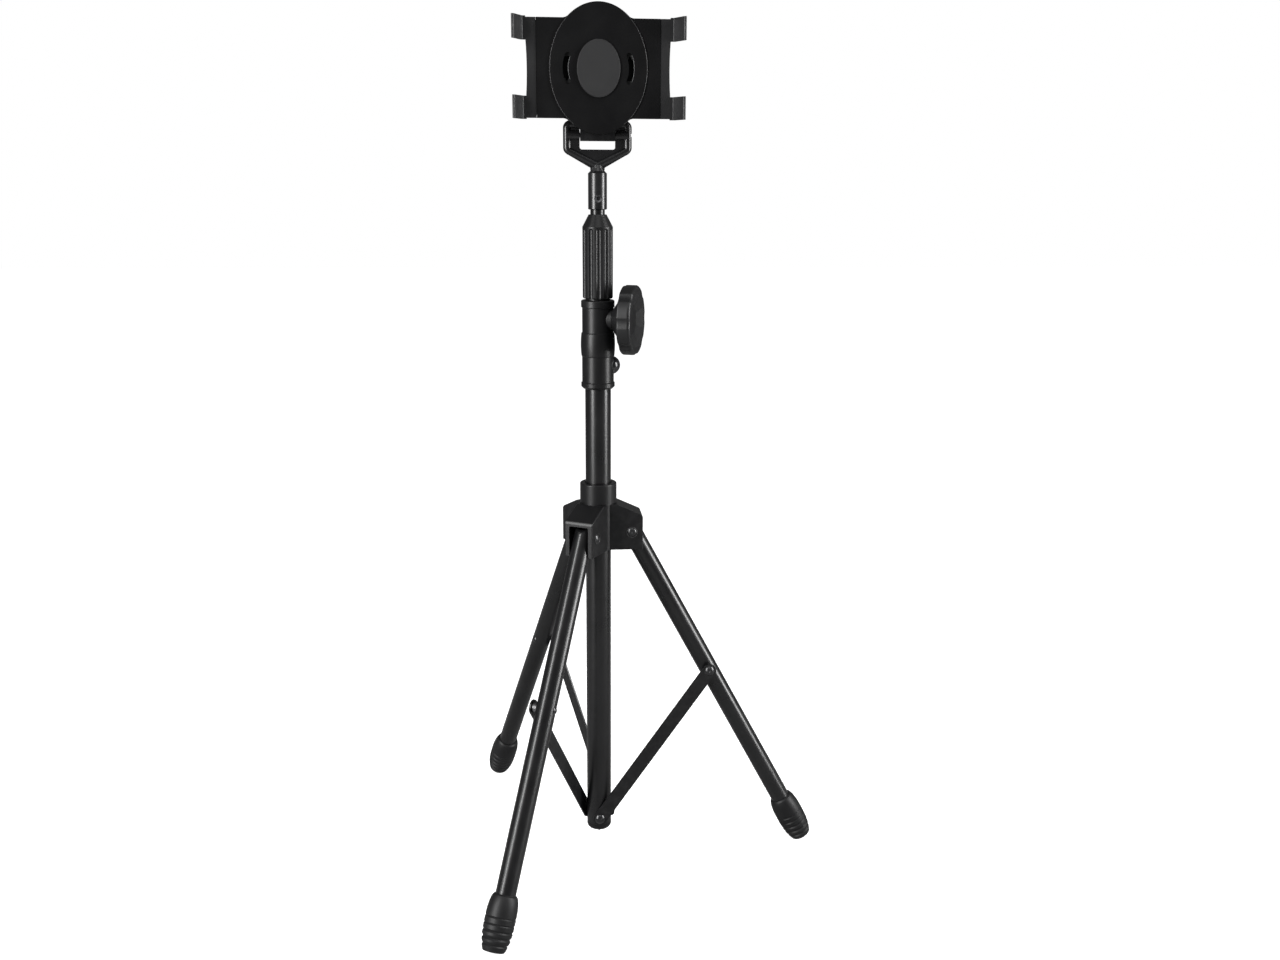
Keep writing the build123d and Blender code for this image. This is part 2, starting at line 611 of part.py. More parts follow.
def make_collar_fixing_screw():
    place = outward(FIXING_AZIMUTH, FIXING_HEIGHT)
    head = rod(FIXING_HEAD_RADIUS, FIXING_HEAD_BASE, FIXING_HEAD_SEAT)
    head += Pos(0, 0, FIXING_HEAD_SEAT) * dome(FIXING_HEAD_RADIUS, FIXING_HEAD_HEIGHT)
    head = place * head - rod(COLLAR_LOWER_RADIUS, COLLAR_BOTTOM, COLLAR_TOP)
    return head + place * rod(FIXING_SHANK_RADIUS, FIXING_SHANK_END, COLLAR_FOOT_RADIUS)


# Tripod: braces, legs, feet, hub


def make_brace(azimuth, lower_clearance):
    strap_sketch = Rectangle(STRAP_WIDTH, BRACE_LENGTH, align=(Align.CENTER, Align.MIN))
    strap_sketch += Circle(STRAP_WIDTH / 2)
    strap_sketch += Pos(0, BRACE_LENGTH) * Circle(STRAP_WIDTH / 2)
    strap_sketch -= Circle(RIVET_RADIUS + lower_clearance)
    strap_sketch -= Pos(0, BRACE_LENGTH) * Circle(RIVET_RADIUS + RUNNING_CLEARANCE)
    strap = slab(strap_sketch, STRAP_THICKNESS / 2, -STRAP_THICKNESS / 2)
    return brace_frame(azimuth) * Pos(0, -BRACE_OFFSET, 0) * strap


def make_leg_tube(azimuth):
    end = LEG_LENGTH - FOOT_FLOOR
    tube = pipe(LEG_RADIUS, LEG_RADIUS - TUBE_WALL, -end, LEG_RADIUS)
    rounding = Rot(90, 0, 0) * Cylinder(LEG_RADIUS, HUB_ARM_REACH)
    rounding += rod(HUB_ARM_REACH, -LEG_LENGTH, 0)
    tube = tube & rounding
    tube -= Rot(90, 0, 0) * Cylinder(RIVET_RADIUS + RUNNING_CLEARANCE, HUB_ARM_REACH)
    rivet_hole = Cylinder(RIVET_RADIUS + RUNNING_CLEARANCE, HUB_ARM_REACH)
    tube -= Pos(0, 0, -LEG_TO_RIVET) * Rot(90, 0, 0) * rivet_hole
    return leg_frame(azimuth) * tube


def make_brace_rivet(azimuth):
    strap_near = BRACE_OFFSET - STRAP_THICKNESS / 2 - PIVOT_SIDE_GAP
    strap_far = BRACE_OFFSET + STRAP_THICKNESS / 2 + PIVOT_SIDE_GAP
    tail_seat = LEG_RADIUS - RIVET_TAIL_SINK
    place = Pos(0, 0, -LEG_TO_RIVET)
    leg_solid = rod(LEG_RADIUS, -LEG_LENGTH, 0)
    spacer = place * across(rod(RIVET_HEAD_RADIUS, 0, strap_near)) - leg_solid
    tail = rod(RIVET_TAIL_RADIUS, 0, tail_seat)
    tail += Pos(0, 0, tail_seat) * dome(RIVET_TAIL_RADIUS, RIVET_TAIL_HEIGHT)
    tail = place * across(Rot(180, 0, 0) * tail) - leg_solid
    shank = rod(RIVET_RADIUS, -LEG_RADIUS, strap_far)
    shank += Pos(0, 0, strap_far) * dome(RIVET_HEAD_RADIUS, RIVET_HEAD_HEIGHT)
    return leg_frame(azimuth) * (place * across(shank) + spacer + tail)


def make_foot(azimuth):
    waist = FOOT_LENGTH * FOOT_WAIST_SHARE
    shoulder = FOOT_LENGTH - FOOT_TOP_ROUND
    side = Spline(
        (FOOT_END_RADIUS, FOOT_END_ROUND),
        (FOOT_WAIST_RADIUS, waist),
        (FOOT_TOP_RADIUS, shoulder),
        tangents=((1 - FOOT_WAIST_SHARE, 1), (FOOT_WAIST_SHARE - 1, 1)),
    )
    heel = RadiusArc(
        (FOOT_END_RADIUS, FOOT_END_ROUND), (FOOT_END_RADIUS - FOOT_END_ROUND, 0), FOOT_END_ROUND
    )
    rest = Polyline(
        (FOOT_END_RADIUS - FOOT_END_ROUND, 0),
        (0, 0),
        (0, FOOT_FLOOR),
        (LEG_RADIUS, FOOT_FLOOR),
        (LEG_RADIUS, FOOT_LENGTH),
        (FOOT_TOP_RADIUS - FOOT_TOP_ROUND, FOOT_LENGTH),
        (FOOT_TOP_RADIUS, shoulder),
    )
    foot = turned_edges([side, heel, rest])
    rib_pitch = FOOT_LENGTH * FOOT_RIB_SHARE / FOOT_RIB_COUNT
    for rib in range(1, FOOT_RIB_COUNT + 1):
        height = rib * rib_pitch
        bulge = (FOOT_WAIST_RADIUS - FOOT_END_RADIUS) * side_bulge(height / waist)
        root = FOOT_END_RADIUS + bulge - FOOT_RIB_DEPTH
        spread = (FOOT_WAIST_RADIUS + OVERRUN - root) * FOOT_RIB_SLOPE
        groove = [
            (root, height),
            (FOOT_WAIST_RADIUS + OVERRUN, height - spread),
            (FOOT_WAIST_RADIUS + OVERRUN, height + spread),
        ]
        foot -= turned(groove)
    return leg_frame(azimuth) * Pos(0, 0, -LEG_LENGTH) * foot


def side_bulge(share):
    """Share of the foot's bulge reached at a share of the height of its waist."""
    return sin(radians(90) * share)


def make_leg_hub():
    arm_edges = Polyline(
        (0, HUB_BOTTOM),
        (HUB_ARM_REACH, HUB_BOTTOM),
        (HUB_ARM_REACH, HUB_ARM_TOP),
        (HUB_RING_RADIUS, HUB_SHOULDER),
        (0, HUB_SHOULDER),
        close=True,
    )
    arm_face = make_face(Plane.XZ * arm_edges)
    arm = extrude(arm_face, HUB_ARM_HALF_WIDTH, both=True)
    level_edges = arm.edges().filter_by(Axis.Y)
    corner = level_edges.sort_by(lambda edge: edge.center().X + edge.center().Z)[-1]
    arm = fillet(corner, HUB_ARM_CORNER_ROUND)
    outer_edges = arm.faces().sort_by(Axis.X)[-1].edges().filter_by(Axis.Z)
    arm = fillet(outer_edges, HUB_EDGE_ROUND)
    clevis = Pos(CLEVIS_BACK, 0, HUB_BOTTOM - OVERRUN) * Box(
        HUB_ARM_REACH,
        CLEVIS_HALF_WIDTH * 2,
        CLEVIS_TOP - HUB_BOTTOM + OVERRUN,
        align=(Align.MIN, Align.CENTER, Align.MIN),
    )
    roof_edges = clevis.faces().sort_by(Axis.Z)[-1].edges().filter_by(Axis.X)
    clevis = fillet(roof_edges, CLEVIS_CORNER_ROUND)
    pivot = Pos(HUB_PIVOT_RADIUS, 0, HUB_PIVOT_HEIGHT) * Rot(90, 0, 0)
    pivot_hole = pivot * Cylinder(RIVET_RADIUS, HUB_ARM_REACH)
    ring = rod(HUB_RING_RADIUS, HUB_BOTTOM, HUB_TOP)
    ring = fillet(ring.edges().sort_by(Axis.Z)[-1], HUB_RING_ROUND)
    hub = ring
    for azimuth in LEG_AZIMUTHS:
        hub += Rot(0, 0, azimuth) * arm
    for azimuth in LEG_AZIMUTHS:
        hub -= Rot(0, 0, azimuth) * (clevis + pivot_hole)
    hub -= rod(HUB_BORE, HUB_BOTTOM - OVERRUN, HUB_TOP + OVERRUN)
    stud_hole = rod(WING_STUD_RADIUS + RUNNING_CLEARANCE, 0, HUB_ARM_REACH)
    return hub - outward(WING_AZIMUTH, WING_HEIGHT) * stud_hole


def make_hub_rivets():
    head = Pos(0, 0, HUB_ARM_HALF_WIDTH) * dome(HUB_RIVET_HEAD_RADIUS, HUB_RIVET_HEAD_HEIGHT)
    rivet = rod(RIVET_RADIUS, -HUB_ARM_HALF_WIDTH, HUB_ARM_HALF_WIDTH)
    rivet += head
    rivet += Rot(180, 0, 0) * head
    rivet = Pos(HUB_PIVOT_RADIUS, 0, HUB_PIVOT_HEIGHT) * across(rivet)
    return Compound([Rot(0, 0, azimuth) * rivet for azimuth in LEG_AZIMUTHS])


# Clamps: a pad on the end of a stud, turned by a wing or a knob


def make_clamp_pad(place, radius, target_radius):
    start = target_radius + PAD_GAP
    end = start + PAD_LENGTH
    socket = rod(SPIGOT_RADIUS + RUNNING_CLEARANCE, end - SPIGOT_LENGTH, end + OVERRUN)
    return place * (rod(radius, start, end) - socket)


def make_stud(radius, target_radius, end):
    start = target_radius + PAD_GAP + PAD_LENGTH
    spigot_start = start - SPIGOT_LENGTH + PIVOT_SIDE_GAP
    return rod(SPIGOT_RADIUS, spigot_start, end) + rod(radius, start + PIVOT_SIDE_GAP, end)


def make_hub_wing_screw():
    shape = Polyline(
        (WING_BOSS_START, 0),
        (WING_BOSS_START, WING_BOSS_RADIUS),
        (WING_TIP - WING_TIP_WIDTH, WING_SPAN),
        (WING_TIP, WING_SPAN),
        (WING_BOSS_END, 0),
        (WING_TIP, -WING_SPAN),
        (WING_TIP - WING_TIP_WIDTH, -WING_SPAN),
        (WING_BOSS_START, -WING_BOSS_RADIUS),
        close=True,
    )
    face = make_face(shape)
    tips = [corner for corner in face.vertices() if abs(corner.Y) > WING_BOSS_RADIUS]
    face = fillet(tips, WING_ROUND)
    wing = extrude(face, WING_THICKNESS / 2, both=True)
    wing = Rot(0, -90, 0) * wing
    wing = Rot(0, 0, 90 - WING_TURN) * wing
    screw = wing + rod(WING_BOSS_RADIUS, WING_BOSS_START, WING_BOSS_END)
    screw += make_stud(WING_STUD_RADIUS, POST_RADIUS, WING_BOSS_END)
    return outward(WING_AZIMUTH, WING_HEIGHT) * screw


def make_collar_knob():
    scallop_reach = KNOB_RADIUS + KNOB_SCALLOP_RADIUS - KNOB_SCALLOP_DEPTH
    scallop = Pos(scallop_reach, 0) * Circle(KNOB_SCALLOP_RADIUS)
    outline = Circle(KNOB_RADIUS)
    for lobe in range(KNOB_LOBES):
        outline -= Rot(0, 0, lobe * 360 / KNOB_LOBES) * scallop
    outline = fillet(outline.vertices(), KNOB_LOBE_ROUND)
    rim = Pos(0, 0, KNOB_RIM_BACK) * extrude(outline, KNOB_FACE - KNOB_RIM_BACK)
    rim = fillet(rim.faces().sort_by(Axis.Z)[-1].edges(), KNOB_FACE_ROUND)
    rim = fillet(rim.faces().sort_by(Axis.Z)[0].edges(), KNOB_EDGE_ROUND)
    cone = turned(
        [
            (0, KNOB_BACK),
            (KNOB_BACK_RADIUS, KNOB_BACK),
            (KNOB_RIM_BACK_RADIUS, KNOB_RIM_BACK),
            (KNOB_RIM_BACK_RADIUS, KNOB_RIM_BACK + KNOB_EDGE_ROUND),
            (0, KNOB_RIM_BACK + KNOB_EDGE_ROUND),
        ]
    )
    dish = RegularPolygon(KNOB_DISH_RADIUS, KNOB_LOBES, rotation=180 / KNOB_LOBES)
    dish = Pos(0, 0, KNOB_FACE) * extrude(dish, -KNOB_DISH_DEPTH, taper=KNOB_DISH_TAPER)
    knob = rim + cone - dish - rod(KNOB_STUD_RADIUS, KNOB_BACK, KNOB_STUD_END)
    return outward(KNOB_AZIMUTH, KNOB_HEIGHT) * knob


# Telescope: middle tube, clutch, rod and their guides


def make_guide(tube_radius, bore_radius, tube_bottom, length):
    """Sleeve round the lower end of a sliding tube, with a lip under the tube."""
    outer = bore_radius - RUNNING_CLEARANCE
    lip_top = tube_bottom - PIVOT_SIDE_GAP
    sleeve = pipe(outer, tube_radius + RUNNING_CLEARANCE, lip_top, tube_bottom + length)
    lip = pipe(outer, tube_radius - GUIDE_LIP_WIDTH, lip_top - GUIDE_LIP, lip_top)
    return sleeve + lip


def make_clutch_body():
    outline = [
        (MIDDLE_RADIUS, CLUTCH_NECK_BOTTOM),
        (CLUTCH_NECK_RADIUS, CLUTCH_NECK_BOTTOM),
        (CLUTCH_NECK_RADIUS, CLUTCH_NECK_TOP),
        (CLUTCH_BODY_RADIUS, CLUTCH_NECK_TOP),
        (CLUTCH_BODY_RADIUS, CLUTCH_BODY_TOP),
        (CLUTCH_BODY_BORE, CLUTCH_BODY_TOP),
        (CLUTCH_BODY_BORE, MIDDLE_TOP),
        (MIDDLE_RADIUS, MIDDLE_TOP),
    ]
    return turned(outline)


def make_clutch_collet():
    bore = ROD_RADIUS + RUNNING_CLEARANCE
    outline = [
        (bore, CLUTCH_BODY_TOP),
        (COLLET_RADIUS, CLUTCH_BODY_TOP),
        (COLLET_TOP_RADIUS, COLLET_TOP),
        (bore, COLLET_TOP),
    ]
    slit = Pos(0, 0, CLUTCH_BODY_TOP - OVERRUN) * Box(
        COLLET_SLIT, SLEEVE_RADIUS, COLLET_TOP, align=(Align.CENTER, Align.MIN, Align.MIN)
    )
    return turned(outline) - slit


def make_clutch_sleeve():
    bore = CLUTCH_BODY_RADIUS + RUNNING_CLEARANCE
    outline = [
        (bore, SLEEVE_BOTTOM),
        (SLEEVE_RADIUS - FLUTE_EDGE, SLEEVE_BOTTOM),
        (SLEEVE_RADIUS, SLEEVE_BOTTOM + FLUTE_EDGE),
        (SLEEVE_RADIUS, SLEEVE_SHOULDER),
        (SLEEVE_TOP_RADIUS, SLEEVE_TOP),
        (SLEEVE_MOUTH_RADIUS, SLEEVE_TOP),
        (SLEEVE_MOUTH_RADIUS, SLEEVE_TOP - OVERRUN),
        (SLEEVE_CONE_RADIUS, SLEEVE_BORE_TOP + OVERRUN),
        (SLEEVE_CONE_RADIUS, SLEEVE_BORE_TOP),
        (bore, SLEEVE_BORE_TOP),
    ]
    sleeve = turned(outline)
    flute_centre = SLEEVE_RADIUS + FLUTE_RADIUS - FLUTE_DEPTH
    flute = rod(FLUTE_RADIUS, SLEEVE_BOTTOM - OVERRUN, FLUTE_TOP)
    flute += Pos(0, 0, FLUTE_TOP) * Sphere(FLUTE_RADIUS)
    for index in range(FLUTE_COUNT):
        sleeve -= Rot(0, 0, index * 360 / FLUTE_COUNT) * Pos(flute_centre, 0, 0) * flute
    return sleeve


# Head: bracket, tilt arm and holder


def make_neck_bracket():
    fork_edges = Polyline(
        (0, FORK_NECK_HEIGHT - SOCKET_SHOULDER),
        (FORK_NECK_HALF_WIDTH, FORK_NECK_HEIGHT - SOCKET_SHOULDER),
        (FORK_NECK_HALF_WIDTH, FORK_NECK_HEIGHT),
        (FORK_HALF_WIDTH, FORK_SLOPE_TOP),
        (FORK_HALF_WIDTH, FORK_TOP),
        (-FORK_HALF_WIDTH, FORK_TOP),
        (-FORK_HALF_WIDTH, FORK_SLOPE_TOP),
        (-FORK_NECK_HALF_WIDTH, FORK_NECK_HEIGHT),
        (-FORK_NECK_HALF_WIDTH, FORK_NECK_HEIGHT - SOCKET_SHOULDER),
        close=True,
    )
    fork_face = make_face(fork_edges)
    corners = [corner for corner in fork_face.vertices() if abs(corner.X) > FORK_GAP_HALF_WIDTH]
    fork_face = fillet(corners, FORK_CORNER_ROUND)
    web = slab(fork_face, FORK_WEB_THICKNESS / 2, -FORK_WEB_THICKNESS / 2)
    rim_path = FilletPolyline(
        (0, 0, FORK_NECK_HEIGHT + FORK_GAP_ROUND),
        (FORK_HALF_WIDTH - FORK_RIM_RADIUS, 0, FORK_SLOPE_TOP + FORK_RIM_RADIUS / 2),
        (FORK_HALF_WIDTH - FORK_RIM_RADIUS, 0, FORK_TOP - FORK_RIM_RADIUS),
        (FORK_GAP_HALF_WIDTH + FORK_RIM_RADIUS, 0, FORK_TOP - FORK_RIM_RADIUS),
        radius=FORK_RIM_RADIUS,
    )
    start_plane = Plane(rim_path @ 0, z_dir=rim_path % 0)
    rim = sweep(start_plane * Circle(FORK_RIM_RADIUS), path=rim_path)
    rim += Pos(rim_path @ 1) * Sphere(FORK_RIM_RADIUS)
    boss = Pos(FORK_GAP_HALF_WIDTH, 0, TILT_HEIGHT) * Rot(0, 90, 0) * rod(
        TILT_BOSS_RADIUS, 0, TILT_BOSS_END - FORK_GAP_HALF_WIDTH
    )
    side = rim + boss
    fork = web + side + mirror(side, Plane.YZ)
    gap_height = FORK_TOP - FORK_GAP_BOTTOM + OVERRUN
    gap = Pos(0, 0, FORK_GAP_BOTTOM) * Box(
        FORK_GAP_HALF_WIDTH * 2, FORK_HALF_WIDTH, gap_height, align=UP
    )
    gap = fillet(gap.faces().sort_by(Axis.Z)[0].edges().filter_by(Axis.Y), FORK_GAP_ROUND)
    socket = turned(
        [
            (0, SOCKET_BOTTOM),
            (SOCKET_RADIUS - SOCKET_CHAMFER, SOCKET_BOTTOM),
            (SOCKET_RADIUS, SOCKET_BOTTOM + SOCKET_CHAMFER),
            (SOCKET_RADIUS, SOCKET_TOP - SOCKET_SHOULDER),
            (SOCKET_RADIUS - SOCKET_SHOULDER, SOCKET_TOP),
            (FAIRING_RADIUS, FORK_NECK_HEIGHT),
            (FAIRING_MID_RADIUS, FAIRING_MID),
            (0, FAIRING_TOP),
        ]
    )
    bracket = fork - gap + socket
    bracket -= rod(ROD_RADIUS, SOCKET_BOTTOM - OVERRUN, ROD_TOP)
    bracket -= outward(SET_SCREW_AZIMUTH, SET_SCREW_HEIGHT) * rod(SET_SCREW_RADIUS, 0, SLEEVE_RADIUS)
    return bracket - Pos(TILT_PIN_START, 0, TILT_HEIGHT) * Rot(0, 90, 0) * rod(
        TILT_PIN_RADIUS, 0, FORK_HALF_WIDTH * 2
    )


def make_neck_set_screw():
    end = ROD_RADIUS + SET_SCREW_LENGTH
    screw = rod(SET_SCREW_RADIUS, 0, end) - Pos(0, 0, end - SET_SCREW_KEY_DEPTH) * extrude(
        RegularPolygon(SET_SCREW_KEY_RADIUS, 6), SET_SCREW_KEY_DEPTH + OVERRUN
    )
    screw = outward(SET_SCREW_AZIMUTH, SET_SCREW_HEIGHT) * screw
    return screw - rod(ROD_RADIUS, SOCKET_BOTTOM, ROD_TOP)


def make_tilt_pin():
    return Pos(TILT_PIN_START, 0, TILT_HEIGHT) * Rot(0, 90, 0) * rod(
        TILT_PIN_RADIUS, 0, TILT_PIN_END - TILT_PIN_START
    )


def make_tilt_arm():
    outline = make_face(
        Polyline(
            (-ARM_HALF_WIDTH, -ARM_LENGTH),
            (ARM_HALF_WIDTH, -ARM_LENGTH),
            (ARM_HALF_WIDTH, ARM_NECK_LENGTH - ARM_LENGTH),
            (ARM_DISC_RADIUS, 0),
            (-ARM_DISC_RADIUS, 0),
            (-ARM_HALF_WIDTH, ARM_NECK_LENGTH - ARM_LENGTH),
            close=True,
        )
    )
    outline += Circle(ARM_DISC_RADIUS)
    arm = slab(outline, ARM_BACK, ARM_FRONT)
    arm += slab(Circle(ARM_BOSS_RADIUS), ARM_BOSS_BACK, ARM_FRONT)
    arm = HOLDER_AT * arm
    root = Pos(0, ARM_FRONT, TILT_HEIGHT) * Box(
        KNUCKLE_HALF_WIDTH * 2,
        ARM_OFFSET,
        KNUCKLE_RADIUS * 2,
        align=(Align.CENTER, Align.MIN, Align.CENTER),
    )
    pin_line = Pos(0, 0, TILT_HEIGHT) * Rot(0, 90, 0)
    arm += root + pin_line * Cylinder(KNUCKLE_RADIUS, KNUCKLE_HALF_WIDTH * 2)
    arm -= pin_line * Cylinder(TILT_PIN_RADIUS + RUNNING_CLEARANCE, FORK_HALF_WIDTH * 2)
    return arm - HOLDER_AT * slab(Circle(TURN_RADIUS + RUNNING_CLEARANCE), 0, HOUSING_BACK)


def make_rotation_screw():
    head_base = ARM_BOSS_BACK + FREE_GAP
    screw = slab(Circle(TURN_RADIUS), head_base, TURN_FRONT)
    screw += slab(Circle(TURN_HEAD_RADIUS), head_base + TURN_HEAD_THICKNESS, head_base)
    return HOLDER_AT * screw


def holder_outline(inset):
    """Front view of the housing: a wide plate blended into an upright oval."""
    plate = Rectangle(2 * (PLATE_HALF_WIDTH - inset), 2 * (PLATE_HALF_HEIGHT - inset))
    oval = Ellipse(OVAL_HALF_WIDTH - inset, OVAL_HALF_HEIGHT - inset)
    outline = plate + oval
    joins = [corner for corner in outline.vertices() if abs(corner.X) < OVAL_HALF_WIDTH - inset]
    return fillet(joins, OVAL_BLEND_ROUND)


def make_holder_front():
    front = slab(holder_outline(0), HOUSING_BACK, PLATE_FRONT)
    hollow = slab(holder_outline(HOUSING_RIM), HOUSING_BACK + OVERRUN, PLATE_FRONT + HOUSING_WALL)
    raised = slab(Ellipse(OVAL_HALF_WIDTH, OVAL_HALF_HEIGHT), PLATE_FRONT + HOUSING_WALL, OVAL_FRONT)
    jaw_height = 2 * (RAIL_OUTER + FREE_GAP)
    inner_face = PLATE_FRONT + HOUSING_WALL
    jaw_gate = slab(Rectangle(JAW_END * 2, jaw_height), HOUSING_BACK + OVERRUN, inner_face)
    housing = front - hollow - jaw_gate + raised
    for side in (0, 180):
        housing -= Rot(0, side, 0) * slab(vent_outline(), HOUSING_BACK, OVAL_FRONT - OVERRUN)
    cover_front = HOUSING_BACK - COVER_THICKNESS
    screw_end = HOUSING_BACK - COVER_SCREW_LENGTH
    for place in cover_screw_places():
        housing += slab(place * Circle(SCREW_BOSS_RADIUS), cover_front, inner_face)
        housing -= slab(place * Circle(COVER_SCREW_RADIUS), HOUSING_BACK, screw_end)
    housing += slab(Circle(PINION_AXLE_RADIUS), cover_front, inner_face)
    return HOLDER_AT * housing


def vent_outline():
    """Curved slot beside the pad, an arc about the centre of the holder."""
    outer = Circle(VENT_RADIUS + VENT_HALF_WIDTH)
    inner = Circle(VENT_RADIUS - VENT_HALF_WIDTH)
    reach = PLATE_HALF_WIDTH
    half_angle = radians(VENT_HALF_ANGLE)
    wedge = make_face(
        Polyline(
            (0, 0),
            (reach, -reach * sin(half_angle) / cos(half_angle)),
            (reach, reach * sin(half_angle) / cos(half_angle)),
            close=True,
        )
    )
    slot = (outer - inner) & wedge
    for angle in (-VENT_HALF_ANGLE, VENT_HALF_ANGLE):
        slot += Rot(0, 0, angle) * Pos(VENT_RADIUS, 0) * Circle(VENT_HALF_WIDTH)
    return slot


def cover_screw_places():
    """Front-view places of the screws that hold the back cover."""
    signs = ((1, 1), (-1, 1), (-1, -1), (1, -1))
    return [Pos(x * SCREW_BOSS_X, z * SCREW_BOSS_Z) for x, z in signs]


def make_holder_back_cover():
    cover = slab(holder_outline(HOUSING_RIM), HOUSING_BACK, HOUSING_BACK - COVER_THICKNESS)
    cover += slab(Circle(COVER_BOSS_RADIUS), COVER_BOSS_BACK, HOUSING_BACK - COVER_THICKNESS)
    cover -= slab(Circle(TURN_RADIUS), 0, TURN_FRONT)
    for place in cover_screw_places():
        cover -= slab(place * Circle(COVER_SCREW_RADIUS), 0, PLATE_FRONT)
    return HOLDER_AT * cover


def make_cover_screws():
    screw = rod(COVER_SCREW_RADIUS, 0, COVER_SCREW_LENGTH)
    screw += Rot(180, 0, 0) * dome(COVER_SCREW_HEAD_RADIUS, COVER_SCREW_HEAD_HEIGHT)
    places = cover_screw_places()
    return Compound([HOLDER_AT * depthwise(place * screw, HOUSING_BACK) for place in places])


def make_centre_pad():
    pad = slab(Ellipse(PAD_HALF_WIDTH, PAD_HALF_HEIGHT), OVAL_FRONT, OVAL_FRONT - PAD_THICKNESS)
    rim = pad.faces().sort_by(Axis.Y)[0].edges()
    return HOLDER_AT * fillet(rim, PAD_EDGE_ROUND)


def tooth_outline():
    """One tooth of the rack, root line to tip, drawn about its own centre."""
    root_half = TOOTH_PITCH * TOOTH_ROOT_SHARE / 2
    tip_half = TOOTH_PITCH * TOOTH_TIP_SHARE / 2
    return make_face(
        Polyline(
            (-root_half, -TOOTH_DEDENDUM),
            (root_half, -TOOTH_DEDENDUM),
            (tip_half, TOOTH_ADDENDUM),
            (-tip_half, TOOTH_ADDENDUM),
            close=True,
        )
    )


def make_jaw_pinion():
    gear = Circle(PINION_RADIUS - TOOTH_DEDENDUM + RUNNING_CLEARANCE)
    for tooth in range(PINION_TEETH):
        gear += Rot(0, 0, tooth * 360 / PINION_TEETH) * Pos(0, PINION_RADIUS) * tooth_outline()
    gear -= Circle(PINION_AXLE_RADIUS + RUNNING_CLEARANCE)
    return HOLDER_AT * slab(gear, RAIL_BACK, RAIL_FRONT)


def make_right_jaw():
    block = make_face(
        Curve(
            [
                Polyline(
                    (JAW_END, PLATE_HALF_HEIGHT),
                    (JAW_START, PLATE_HALF_HEIGHT),
                    (JAW_START, -PLATE_HALF_HEIGHT),
                    (JAW_END, -PLATE_HALF_HEIGHT),
                ),
                ThreePointArc(
                    (JAW_END, -PLATE_HALF_HEIGHT),
                    (JAW_END - JAW_HOLLOW_DEPTH, 0),
                    (JAW_END, PLATE_HALF_HEIGHT),
                ),
            ]
        )
    )
    jaw = slab(block, JAW_BACK, JAW_FRONT)
    rail_length = JAW_START - RAIL_START + JAW_HOLLOW_DEPTH
    rail = Pos(RAIL_START, RAIL_INNER) * Rectangle(
        rail_length, RAIL_WIDTH, align=(Align.MIN, Align.MIN)
    )
    rack_back = -PINION_RADIUS - TOOTH_DEDENDUM - RACK_DEPTH
    rack = Pos(-RACK_END, rack_back) * Rectangle(
        RACK_END + JAW_START + JAW_HOLLOW_DEPTH, RACK_DEPTH, align=(Align.MIN, Align.MIN)
    )
    for tooth in range(RACK_TEETH):
        place = (tooth + 1) * TOOTH_PITCH - RACK_END + rack_phase()
        rack += Pos(place, -PINION_RADIUS) * tooth_outline()
    tongue = Pos(JAW_START - JAW_TONGUE, 0) * Rectangle(
        JAW_TONGUE + JAW_HOLLOW_DEPTH, RAIL_OUTER * 2, align=(Align.MIN, Align.CENTER)
    )
    inner = rail + mirror(rail, Plane.XZ) + rack + tongue
    jaw += slab(inner, RAIL_BACK, RAIL_FRONT)
    hook = hook_section()
    for bottom in (HOOK_TOP - HOOK_HEIGHT, -HOOK_TOP):
        jaw += Pos(0, 0, bottom) * extrude(hook, HOOK_HEIGHT)
    return HOLDER_AT * jaw


def rack_phase():
    """Shift that puts a gap of the rack under the pinion's lowest tooth."""
    shift = RACK_END / TOOTH_PITCH
    return TOOTH_PITCH * (shift - int(shift) + 1 / 2)


def hook_section():
    """Plan of a hook: it leaves the jaw, bends forward and flares out to a round lip."""
    bent = FilletPolyline(
        (HOOK_ROOT_X, JAW_FRONT + HOOK_THICKNESS / 2),
        (HOOK_BEND_X, JAW_FRONT + HOOK_THICKNESS / 2),
        (HOOK_TIP_X, HOOK_TIP_Y),
        radius=HOOK_BEND_ROUND,
    )
    section = trace(bent, HOOK_THICKNESS)
    return section + Pos(HOOK_TIP_X, HOOK_TIP_Y) * Circle(HOOK_THICKNESS / 2)


def save(part, name):
    """Write one node."""
    part.label = name
    export_step(part, f"parts/{name}.step")


